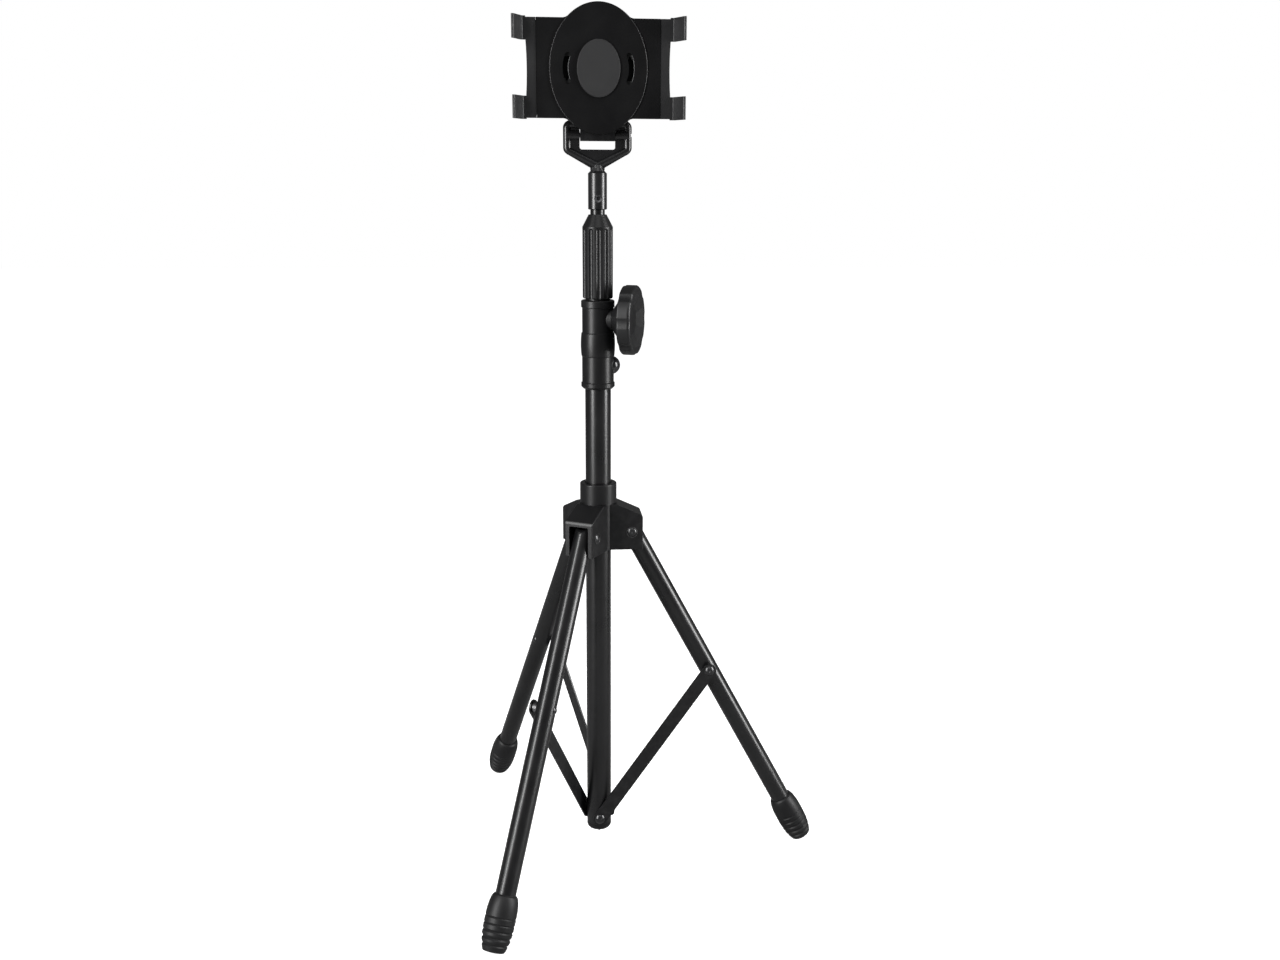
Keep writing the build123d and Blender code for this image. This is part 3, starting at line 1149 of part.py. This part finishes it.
WING_PLACE = outward(WING_AZIMUTH, WING_HEIGHT)
KNOB_PLACE = outward(KNOB_AZIMUTH, KNOB_HEIGHT)
NODES = {
    "lower_post": make_lower_post(),
    "post_end_plug": make_post_end_plug(),
    "brace_post_rivets": make_brace_post_rivets(),
    "collar": make_collar(),
    "collar_bush": make_collar_bush(),
    "collar_fixing_screw": make_collar_fixing_screw(),
    "leg_hub": make_leg_hub(),
    "hub_rivets": make_hub_rivets(),
    "hub_wing_screw": make_hub_wing_screw(),
    "hub_clamp_pad": make_clamp_pad(WING_PLACE, WING_STUD_RADIUS, POST_RADIUS),
    "collar_knob": make_collar_knob(),
    "knob_stud": KNOB_PLACE * make_stud(KNOB_STUD_RADIUS, MIDDLE_RADIUS, KNOB_STUD_END),
    "collar_clamp_pad": make_clamp_pad(KNOB_PLACE, KNOB_STUD_RADIUS, MIDDLE_RADIUS),
    "middle_tube": pipe(MIDDLE_RADIUS, MIDDLE_BORE, MIDDLE_BOTTOM, MIDDLE_TOP),
    "middle_tube_guide": make_guide(MIDDLE_RADIUS, POST_BORE, MIDDLE_BOTTOM, MIDDLE_GUIDE_LENGTH),
    "clutch_body": make_clutch_body(),
    "clutch_collet": make_clutch_collet(),
    "clutch_sleeve": make_clutch_sleeve(),
    "inner_rod": pipe(ROD_RADIUS, ROD_BORE, ROD_BOTTOM, ROD_TOP),
    "rod_end_guide": make_guide(ROD_RADIUS, MIDDLE_BORE, ROD_BOTTOM, ROD_GUIDE_LENGTH),
    "neck_bracket": make_neck_bracket(),
    "neck_set_screw": make_neck_set_screw(),
    "tilt_pin": make_tilt_pin(),
    "tilt_arm": make_tilt_arm(),
    "rotation_screw": make_rotation_screw(),
    "holder_front": make_holder_front(),
    "holder_back_cover": make_holder_back_cover(),
    "cover_screws": make_cover_screws(),
    "centre_pad": make_centre_pad(),
    "jaw_pinion": make_jaw_pinion(),
    "right_jaw": make_right_jaw(),
}
NODES["left_jaw"] = HOLDER_AT * Rot(0, 180, 0) * HOLDER_AT.inverse() * NODES["right_jaw"]
for number, azimuth in enumerate(LEG_AZIMUTHS, start=1):
    clearance = RUNNING_CLEARANCE if number == 1 else OPEN_PIVOT_CLEARANCE
    NODES[f"brace_{number}"] = make_brace(azimuth, clearance)
    NODES[f"brace_rivet_{number}"] = make_brace_rivet(azimuth)
    NODES[f"leg_tube_{number}"] = make_leg_tube(azimuth)
    NODES[f"foot_{number}"] = make_foot(azimuth)

for node_name, node in NODES.items():
    save(node, node_name)
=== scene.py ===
"""Looks of the adjustable tablet floor stand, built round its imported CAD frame.

Metres, but the small trim is laid out in millimetres. The floor is at height zero, the holder
faces -Y, and azimuths run from +X toward +Y.
"""

import math

import bpy
from mathutils import Matrix, Vector


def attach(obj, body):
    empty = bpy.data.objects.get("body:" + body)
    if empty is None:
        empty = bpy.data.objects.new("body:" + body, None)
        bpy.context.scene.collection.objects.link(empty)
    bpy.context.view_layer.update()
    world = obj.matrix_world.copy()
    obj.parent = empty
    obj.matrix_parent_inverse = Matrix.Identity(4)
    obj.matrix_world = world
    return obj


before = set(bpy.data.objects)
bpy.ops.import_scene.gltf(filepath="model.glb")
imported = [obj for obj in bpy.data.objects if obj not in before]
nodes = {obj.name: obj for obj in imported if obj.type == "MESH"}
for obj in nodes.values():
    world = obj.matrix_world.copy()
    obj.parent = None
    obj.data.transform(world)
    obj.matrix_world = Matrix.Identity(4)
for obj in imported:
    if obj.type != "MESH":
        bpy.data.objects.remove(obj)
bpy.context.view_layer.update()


def add_to_scene(name, data):
    """New object of the scene that carries a mesh, a lamp or a camera."""
    item = bpy.data.objects.new(name, data)
    bpy.context.scene.collection.objects.link(item)
    return item


# Materials

CLOUD_SCALE = 30.0
PATCH_SCALE = 160.0
SPECK_GAIN = 1.8
SPECK_SHARE = 0.2
GRAIN_STRENGTH = 0.5
COAT_ROUGHNESS = 0.08


class Nodes:
    """Short names for the nodes of one material."""

    def __init__(self, name):
        self.material = bpy.data.materials.new(name)
        self.material.use_nodes = True
        self.tree = self.material.node_tree
        self.shader = self.tree.nodes["Principled BSDF"]
        self.place = self.add("ShaderNodeTexCoord").outputs["Object"]

    def add(self, kind, **values):
        node = self.tree.nodes.new(kind)
        for key, value in values.items():
            setattr(node, key, value)
        return node

    def link(self, source, target):
        self.tree.links.new(source, target)

    def noise(self, scale, detail=4.0, roughness=0.55):
        node = self.add("ShaderNodeTexNoise")
        node.inputs["Scale"].default_value = scale
        node.inputs["Detail"].default_value = detail
        node.inputs["Roughness"].default_value = roughness
        self.link(self.place, node.inputs["Vector"])
        return node.outputs["Fac"]

    def ramp(self, fac, low, high, start=0.35, end=0.65):
        node = self.add("ShaderNodeMapRange")
        node.inputs["From Min"].default_value = start
        node.inputs["From Max"].default_value = end
        node.inputs["To Min"].default_value = low
        node.inputs["To Max"].default_value = high
        self.link(fac, node.inputs["Value"])
        return node.outputs["Result"]

    def product(self, first, second):
        node = self.add("ShaderNodeMath", operation="MULTIPLY")
        self.link(first, node.inputs[0])
        self.link(second, node.inputs[1])
        return node.outputs[0]

    def mix(self, fac, dark, light):
        node = self.add("ShaderNodeMix", data_type="RGBA")
        self.link(fac, node.inputs["Factor"])
        for socket, value in (("A_Color", dark), ("B_Color", light)):
            target = next(s for s in node.inputs if s.identifier == socket)
            if isinstance(value, tuple):
                target.default_value = (*value, 1)
            else:
                self.link(value, target)
        return next(s for s in node.outputs if s.identifier == "Result_Color")

    def bump(self, fac, strength, distance):
        node = self.add("ShaderNodeBump")
        node.inputs["Strength"].default_value = strength
        node.inputs["Distance"].default_value = distance
        self.link(fac, node.inputs["Height"])
        return node.outputs["Normal"]


def surface(
    name, dark, light, rough, grain, bump, metallic=0.0, specular=0.5, coat=0.0, wear=None
):
    """Coloured surface with cloudy tone, fine grain, uneven gloss and, if asked, worn edges.

    rough is the lowest and highest roughness, grain the scale of the fine grain, bump its depth.
    """
    n = Nodes(name)
    cloud = n.noise(CLOUD_SCALE)
    fine = n.noise(grain, detail=3.0, roughness=0.6)
    tone = n.mix(n.ramp(cloud, 0.0, 1.0), dark, light)
    speck = n.ramp(fine, 0.0, SPECK_SHARE, start=0.62, end=0.8)
    tone = n.mix(speck, tone, tuple(min(1.0, channel * SPECK_GAIN) for channel in light))
    roughness = n.ramp(cloud, *rough)
    if wear:
        geometry = n.add("ShaderNodeNewGeometry")
        edge = n.ramp(geometry.outputs["Pointiness"], 0.0, 1.0, start=0.53, end=0.6)
        patch_noise = n.noise(PATCH_SCALE, detail=6.0, roughness=0.7)
        patch = n.ramp(patch_noise, 0.0, 1.0, start=0.45, end=0.62)
        tone = n.mix(n.product(edge, patch), tone, wear)
    n.link(tone, n.shader.inputs["Base Color"])
    n.link(roughness, n.shader.inputs["Roughness"])
    n.shader.inputs["Metallic"].default_value = metallic
    n.shader.inputs["Specular IOR Level"].default_value = specular
    n.shader.inputs["Coat Weight"].default_value = coat
    n.shader.inputs["Coat Roughness"].default_value = COAT_ROUGHNESS
    n.link(n.bump(fine, GRAIN_STRENGTH, bump), n.shader.inputs["Normal"])
    return n.material


ENAMEL = surface(
    "gloss_enamel",
    dark=(0.003, 0.003, 0.0033),
    light=(0.005, 0.005, 0.0054),
    rough=(0.27, 0.31),
    grain=700,
    bump=0.000002,
    specular=0.42,
    coat=0.03,
)
STRAP = surface(
    "satin_enamel",
    dark=(0.004, 0.004, 0.0044),
    light=(0.006, 0.006, 0.0065),
    rough=(0.29, 0.31),
    grain=1400,
    bump=0.000005,
    specular=0.32,
    wear=(0.01, 0.01, 0.0104),
)
CASTING = surface(
    "bracket_enamel",
    dark=(0.004, 0.004, 0.0044),
    light=(0.007, 0.007, 0.0075),
    rough=(0.26, 0.3),
    grain=1100,
    bump=0.000002,
    specular=0.5,
    coat=0.03,
)
STEEL = surface(
    "blackened_steel",
    dark=(0.012, 0.012, 0.013),
    light=(0.022, 0.022, 0.023),
    rough=(0.2, 0.3),
    grain=1500,
    bump=0.00001,
    metallic=0.3,
    wear=(0.14, 0.14, 0.145),
)
BRIGHT = surface(
    "plain_steel",
    dark=(0.42, 0.42, 0.43),
    light=(0.56, 0.56, 0.57),
    rough=(0.25, 0.4),
    grain=1500,
    bump=0.00001,
    metallic=1.0,
)
MOULDED = surface(
    "moulded_plastic",
    dark=(0.004, 0.004, 0.0043),
    light=(0.006, 0.006, 0.0064),
    rough=(0.35, 0.37),
    grain=2200,
    bump=0.000007,
    specular=0.28,
    wear=(0.01, 0.01, 0.0104),
)
KNOB = surface(
    "knob_plastic",
    dark=(0.005, 0.005, 0.0053),
    light=(0.0075, 0.0075, 0.0079),
    rough=(0.38, 0.42),
    grain=2200,
    bump=0.00001,
    specular=0.3,
    wear=(0.02, 0.02, 0.0205),
)
NYLON = surface(
    "natural_nylon",
    dark=(0.5, 0.5, 0.47),
    light=(0.6, 0.6, 0.57),
    rough=(0.4, 0.5),
    grain=1500,
    bump=0.00002,
)
HOUSING = surface(
    "housing_plastic",
    dark=(0.002, 0.002, 0.0022),
    light=(0.0034, 0.0034, 0.0036),
    rough=(0.5, 0.56),
    grain=2600,
    bump=0.00001,
    specular=0.09,
)
JAW = surface(
    "jaw_plastic",
    dark=(0.009, 0.009, 0.0095),
    light=(0.012, 0.012, 0.0125),
    rough=(0.38, 0.43),
    grain=2400,
    bump=0.00001,
    specular=0.34,
)
PAD = surface(
    "pad_rubber",
    dark=(0.013, 0.013, 0.0134),
    light=(0.016, 0.016, 0.0165),
    rough=(0.6, 0.66),
    grain=3000,
    bump=0.00002,
    specular=0.2,
)
RUBBER = surface(
    "foot_rubber",
    dark=(0.005, 0.005, 0.0053),
    light=(0.008, 0.008, 0.0084),
    rough=(0.46, 0.5),
    grain=2600,
    bump=0.00001,
    specular=0.24,
    wear=(0.014, 0.014, 0.0144),
)
# Lighter than the parts the beads sit on: a painted highlight along rounded edges and rims. The
# bead's rounded shape is real.
EDGE_HIGHLIGHT = surface(
    "painted_edge_highlight",
    dark=(0.014, 0.014, 0.0145),
    light=(0.02, 0.02, 0.0205),
    rough=(0.34, 0.4),
    grain=1500,
    bump=0.000005,
    specular=0.42,
    coat=0.02,
)
# Near-black for the painted shadow in the slit beside each jaw
SHADE = surface(
    "seam_shadow",
    dark=(0.001, 0.001, 0.001),
    light=(0.002, 0.002, 0.002),
    rough=(0.6, 0.7),
    grain=1500,
    bump=0.00001,
    specular=0.1,
)

FINISH = {
    ENAMEL: (
        "lower_post", "middle_tube", "inner_rod", "leg_tube_1", "leg_tube_2", "leg_tube_3"
    ),
    STRAP: ("brace_1", "brace_2", "brace_3", "tilt_arm"),
    CASTING: ("neck_bracket",),
    STEEL: (
        "brace_post_rivets", "brace_rivet_1", "brace_rivet_2", "brace_rivet_3", "hub_rivets",
        "tilt_pin", "collar_fixing_screw", "cover_screws", "neck_set_screw", "rotation_screw",
        "hub_wing_screw",
    ),
    BRIGHT: ("knob_stud",),
    MOULDED: ("collar", "leg_hub", "clutch_sleeve", "clutch_body", "post_end_plug"),
    KNOB: ("collar_knob",),
    NYLON: (
        "collar_bush", "clutch_collet", "middle_tube_guide", "rod_end_guide", "hub_clamp_pad",
        "collar_clamp_pad", "jaw_pinion",
    ),
    HOUSING: ("holder_front", "holder_back_cover"),
    JAW: ("right_jaw", "left_jaw"),
    PAD: ("centre_pad",),
    RUBBER: ("foot_1", "foot_2", "foot_3"),
}
for material, names in FINISH.items():
    for name in names:
        for material_slot in nodes[name].material_slots:
            material_slot.link = "OBJECT"
            material_slot.material = material


# Small trim, each a fine bead along an edge: rounded edges in a lighter colour that paints their
# highlight, and near-black beads that paint the shadow in the slit beside each jaw

MILLIMETRES_PER_METRE = 1000
BEAD_SIDES = 10
BEAD_END_TAPER = 3
RING_STEPS = 48

# Places and radii in millimetres, angles in degrees

HOLDER_HEIGHT = 689.9
OVAL_FRONT = -18.8
OVAL_RIM_HALF_WIDTH = 38.8
OVAL_RIM_HALF_HEIGHT = 49.95
OVAL_RIM_SINK = 0.25
OVAL_RIM_TURNS = range(-62, 63, 4)
OVAL_RIM_BEAD = 0.32
VENT_OUTER_RADIUS = 28.4
VENT_INNER_RADIUS = 24.2
VENT_RIM_SINK = 0.1
VENT_RIM_TURNS = range(-22, 23, 2)
VENT_RIM_BEAD = 0.3
HOOK_TOP = 39.0
HOOK_HEIGHT = 17.8
HOOK_LIP_X = 67.5
HOOK_LIP_Y = -29.9
HOOK_LIP_LEVELS = (0.7, 9.0, 17.1)
HOOK_LIP_BEAD = 0.95
SEAM_X = 49.36
SEAM_Y = -16.9
SEAM_HALF_HEIGHT = 37.9
SEAM_BEAD = 0.13
SET_SCREW_AZIMUTH = -88
SET_SCREW_HEIGHT = 589.0
SET_SCREW_SEAT_REACH = 7.2
SET_SCREW_SEAT_RADIUS = 3.25
SET_SCREW_SEAT_BEAD = 0.3
LEG_AZIMUTHS = (0, 120, -120)
HUB_PIVOT_RADIUS = 28.4
HUB_PIVOT_HEIGHT = 306.0
HUB_SEAT_OFFSET = 13.25
HUB_SEAT_RADIUS = 4.55
HUB_SEAT_BEAD = 0.32


def bead(name, points, radius, material, body, closed=True):
    """Round bead along a line of points in millimetres, riding on a body.

    An open bead's two ends are thinner than the rest.
    """
    count = len(points)
    line = [Vector(point) / MILLIMETRES_PER_METRE for point in points]
    vertices, faces = [], []
    side = None
    for index, point in enumerate(line):
        before = line[index - 1] if closed or index else point
        after = line[(index + 1) % count] if closed or index + 1 < count else point
        along = (after - before).normalized()
        if side is None:
            side = along.orthogonal().normalized()
        else:
            side = (side - along * side.dot(along)).normalized()
        other = along.cross(side)
        thickness = radius / MILLIMETRES_PER_METRE
        if not closed and index in (0, count - 1):
            thickness = thickness / BEAD_END_TAPER
        for step in range(BEAD_SIDES):
            turn = 2 * math.pi * step / BEAD_SIDES
            offset = side * math.cos(turn) + other * math.sin(turn)
            vertices.append(point + offset * thickness)
    for index in range(count if closed else count - 1):
        first, second = index * BEAD_SIDES, ((index + 1) % count) * BEAD_SIDES
        for step in range(BEAD_SIDES):
            following = (step + 1) % BEAD_SIDES
            faces.append((first + step, first + following, second + following, second + step))
    if not closed:
        faces.append(tuple(reversed(range(BEAD_SIDES))))
        faces.append(tuple(range((count - 1) * BEAD_SIDES, count * BEAD_SIDES)))
    mesh = bpy.data.meshes.new(name)
    mesh.from_pydata([tuple(vertex) for vertex in vertices], [], faces)
    for face in mesh.polygons:
        face.use_smooth = True
    mesh.materials.append(material)
    piece = add_to_scene(name, mesh)
    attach(piece, body)


def ring(centre, normal, radius):
    """Points of a circle about a centre, square to a normal."""
    normal = normal.normalized()
    first = normal.orthogonal().normalized()
    second = normal.cross(first)
    turns = [2 * math.pi * step / RING_STEPS for step in range(RING_STEPS)]
    return [centre + (first * math.cos(turn) + second * math.sin(turn)) * radius for turn in turns]


def holder_arc(half_width, half_height, sink, middle, turns):
    """Points of an ellipse about the holder's centre, a little behind the oval's front."""
    angles = [math.radians(middle + turn) for turn in turns]
    return [
        (
            half_width * math.cos(angle),
            OVAL_FRONT + sink,
            HOLDER_HEIGHT + half_height * math.sin(angle),
        )
        for angle in angles
    ]


# Ring bead round the set screw's seat, a painted highlight
screw_angle = math.radians(SET_SCREW_AZIMUTH)
screw_line = Vector((math.cos(screw_angle), math.sin(screw_angle), 0))
screw_seat = screw_line * SET_SCREW_SEAT_REACH + Vector((0, 0, SET_SCREW_HEIGHT))
screw_ring = ring(screw_seat, screw_line, SET_SCREW_SEAT_RADIUS)
bead("set_screw_seat", screw_ring, SET_SCREW_SEAT_BEAD, EDGE_HIGHLIGHT, "neck")

# Beads on the oval rim's left and right sides, a painted highlight
for side_name, middle in (("right", 0), ("left", 180)):
    rim = holder_arc(
        OVAL_RIM_HALF_WIDTH, OVAL_RIM_HALF_HEIGHT, OVAL_RIM_SINK, middle, OVAL_RIM_TURNS
    )
    bead(f"oval_edge_{side_name}", rim, OVAL_RIM_BEAD, EDGE_HIGHLIGHT, "holder", closed=False)
# Each vent's bead sits only on its right side, where the light falls: a painted highlight on the
# lit edge
for side_name, middle, radius in (
    ("right", 0, VENT_OUTER_RADIUS),
    ("left", 180, VENT_INNER_RADIUS),
):
    arc = holder_arc(radius, radius, VENT_RIM_SINK, middle, VENT_RIM_TURNS)
    bead(f"vent_edge_{side_name}", arc, VENT_RIM_BEAD, EDGE_HIGHLIGHT, "holder", closed=False)

HOOK_BOTTOMS = {
    "top": HOLDER_HEIGHT + HOOK_TOP - HOOK_HEIGHT,
    "bottom": HOLDER_HEIGHT - HOOK_TOP,
}
for side_name, sign in (("right", 1), ("left", -1)):
    jaw_body = f"{side_name}_jaw"
    for end_name, low in HOOK_BOTTOMS.items():
        # Bead along each hook lip's rounded outer corner, a painted highlight
        lip = [(sign * HOOK_LIP_X, HOOK_LIP_Y, low + level) for level in HOOK_LIP_LEVELS]
        bead(f"hook_lip_{side_name}_{end_name}", lip, HOOK_LIP_BEAD, EDGE_HIGHLIGHT, jaw_body, closed=False)
    # Near-black bead filling the slit between the jaw and the plate, a painted shadow
    seam = [
        (sign * SEAM_X, SEAM_Y, HOLDER_HEIGHT + level)
        for level in (-SEAM_HALF_HEIGHT, 0, SEAM_HALF_HEIGHT)
    ]
    bead(f"jaw_gap_shadow_{side_name}", seam, SEAM_BEAD, SHADE, jaw_body, closed=False)

# Ring beads round the hub's rivet heads, a painted highlight
for azimuth in LEG_AZIMUTHS:
    turn = math.radians(azimuth)
    out = Vector((math.cos(turn), math.sin(turn), 0))
    across = Vector((-math.sin(turn), math.cos(turn), 0))
    pivot = out * HUB_PIVOT_RADIUS + Vector((0, 0, HUB_PIVOT_HEIGHT))
    for end_name, sign in (("a", 1), ("b", -1)):
        seat = ring(pivot + across * sign * HUB_SEAT_OFFSET, across, HUB_SEAT_RADIUS)
        bead(f"hub_rivet_seat_{azimuth % 360}_{end_name}", seat, HUB_SEAT_BEAD, EDGE_HIGHLIGHT, "hub")


# Stage

WHITE = (1, 1, 1, 1)
FLOOR_REACH = 8.0
FLOOR_DARK = (0.86, 0.86, 0.86)
FLOOR_LIGHT = (0.88, 0.88, 0.88)
FLOOR_REFLECTED = (0.3, 0.3, 0.3)
FLOOR_CLOUD_SCALE = 2.0
FLOOR_ROUGHNESS = 0.95
GLOW_START_DISTANCE = 0.3
GLOW_END_DISTANCE = 1.6
GLOW_AT_START = 0.6
GLOW_AT_END = 0.92
STUDIO_LEVEL = 0.15


def floor_material():
    """Pale floor that takes the stand's shadow and glows toward white farther off.

    Only the camera sees it so. To reflections and bounced light it is a plain grey.
    """
    n = Nodes("stage_floor")
    n.shader.inputs["Roughness"].default_value = FLOOR_ROUGHNESS
    n.shader.inputs["Specular IOR Level"].default_value = 0.0
    is_seen = n.add("ShaderNodeLightPath").outputs["Is Camera Ray"]
    pale = n.mix(n.noise(FLOOR_CLOUD_SCALE), FLOOR_DARK, FLOOR_LIGHT)
    n.link(n.mix(is_seen, FLOOR_REFLECTED, pale), n.shader.inputs["Base Color"])
    n.shader.inputs["Emission Color"].default_value = WHITE
    distance = n.add("ShaderNodeVectorMath", operation="LENGTH")
    n.link(n.place, distance.inputs[0])
    glow = n.ramp(
        distance.outputs["Value"],
        GLOW_AT_START,
        GLOW_AT_END,
        start=GLOW_START_DISTANCE,
        end=GLOW_END_DISTANCE,
    )
    n.link(n.product(glow, is_seen), n.shader.inputs["Emission Strength"])
    return n.material


floor_corners = [
    (-FLOOR_REACH, -FLOOR_REACH, 0),
    (FLOOR_REACH, -FLOOR_REACH, 0),
    (FLOOR_REACH, FLOOR_REACH, 0),
    (-FLOOR_REACH, FLOOR_REACH, 0),
]
floor_mesh = bpy.data.meshes.new("stage_floor")
floor_mesh.from_pydata(floor_corners, [], [(0, 1, 2, 3)])
floor_mesh.materials.append(floor_material())
floor = add_to_scene("stage_floor", floor_mesh)

world = bpy.data.worlds.new("studio")
bpy.context.scene.world = world
world.use_nodes = True
tree = world.node_tree
background = tree.nodes["Background"]
background.inputs["Color"].default_value = WHITE
path = tree.nodes.new("ShaderNodeLightPath")
seen = tree.nodes.new("ShaderNodeMath")
seen.operation = "MAXIMUM"
tree.links.new(path.outputs["Is Camera Ray"], seen.inputs[0])
tree.links.new(path.outputs["Is Transmission Ray"], seen.inputs[1])
strength = tree.nodes.new("ShaderNodeMapRange")
strength.inputs["To Min"].default_value = STUDIO_LEVEL
strength.inputs["To Max"].default_value = 1.0
tree.links.new(seen.outputs[0], strength.inputs["Value"])
tree.links.new(strength.outputs["Result"], background.inputs["Strength"])


# Lamps, placed from the camera's own azimuth

CAMERA_AZIMUTH = -93.574


def softbox(name, azimuth, distance, height, size, power, aim=0.4):
    """Rectangular lamp turned to the stand, at an azimuth counted from the camera's own."""
    lamp = bpy.data.lights.new(name, "AREA")
    lamp.shape = "RECTANGLE"
    lamp.size, lamp.size_y = size
    lamp.energy = power
    item = add_to_scene(name, lamp)
    angle = math.radians(CAMERA_AZIMUTH + azimuth)
    item.location = (distance * math.cos(angle), distance * math.sin(angle), height)
    aim_line = Vector((0, 0, aim)) - item.location
    item.rotation_euler = aim_line.to_track_quat("-Z", "Y").to_euler()


softbox("key_left", azimuth=-50, distance=1.6, height=0.85, size=(0.6, 1.6), power=52)
softbox("key_right", azimuth=76, distance=1.5, height=0.8, size=(0.42, 1.5), power=42)
softbox("top", azimuth=10, distance=1.2, height=2.2, size=(1.2, 1.2), power=9, aim=0.3)


# Camera, worked out from the photograph

CAMERA_DISTANCE = 1.07266
CAMERA_HEIGHT = 0.60317
FORWARD_AZIMUTH = 84.49
PITCH = -13.27
ROLL = 0.29
SENSOR_WIDTH = 36.0
LENS = 35.66

camera_data = bpy.data.cameras.new("camera")
camera_data.sensor_width = SENSOR_WIDTH
camera_data.lens = LENS
camera = add_to_scene("camera", camera_data)
bearing = math.radians(CAMERA_AZIMUTH)
camera_place = Vector(
    (CAMERA_DISTANCE * math.cos(bearing), CAMERA_DISTANCE * math.sin(bearing), CAMERA_HEIGHT)
)
heading = math.radians(FORWARD_AZIMUTH)
pitch = math.radians(PITCH)
forward = Vector(
    (math.cos(pitch) * math.cos(heading), math.cos(pitch) * math.sin(heading), math.sin(pitch))
)
camera.matrix_world = (
    Matrix.Translation(camera_place)
    @ forward.to_track_quat("-Z", "Y").to_matrix().to_4x4()
    @ Matrix.Rotation(math.radians(ROLL), 4, "Z")
)
bpy.context.scene.camera = camera
bpy.context.scene.view_settings.view_transform = "Standard"
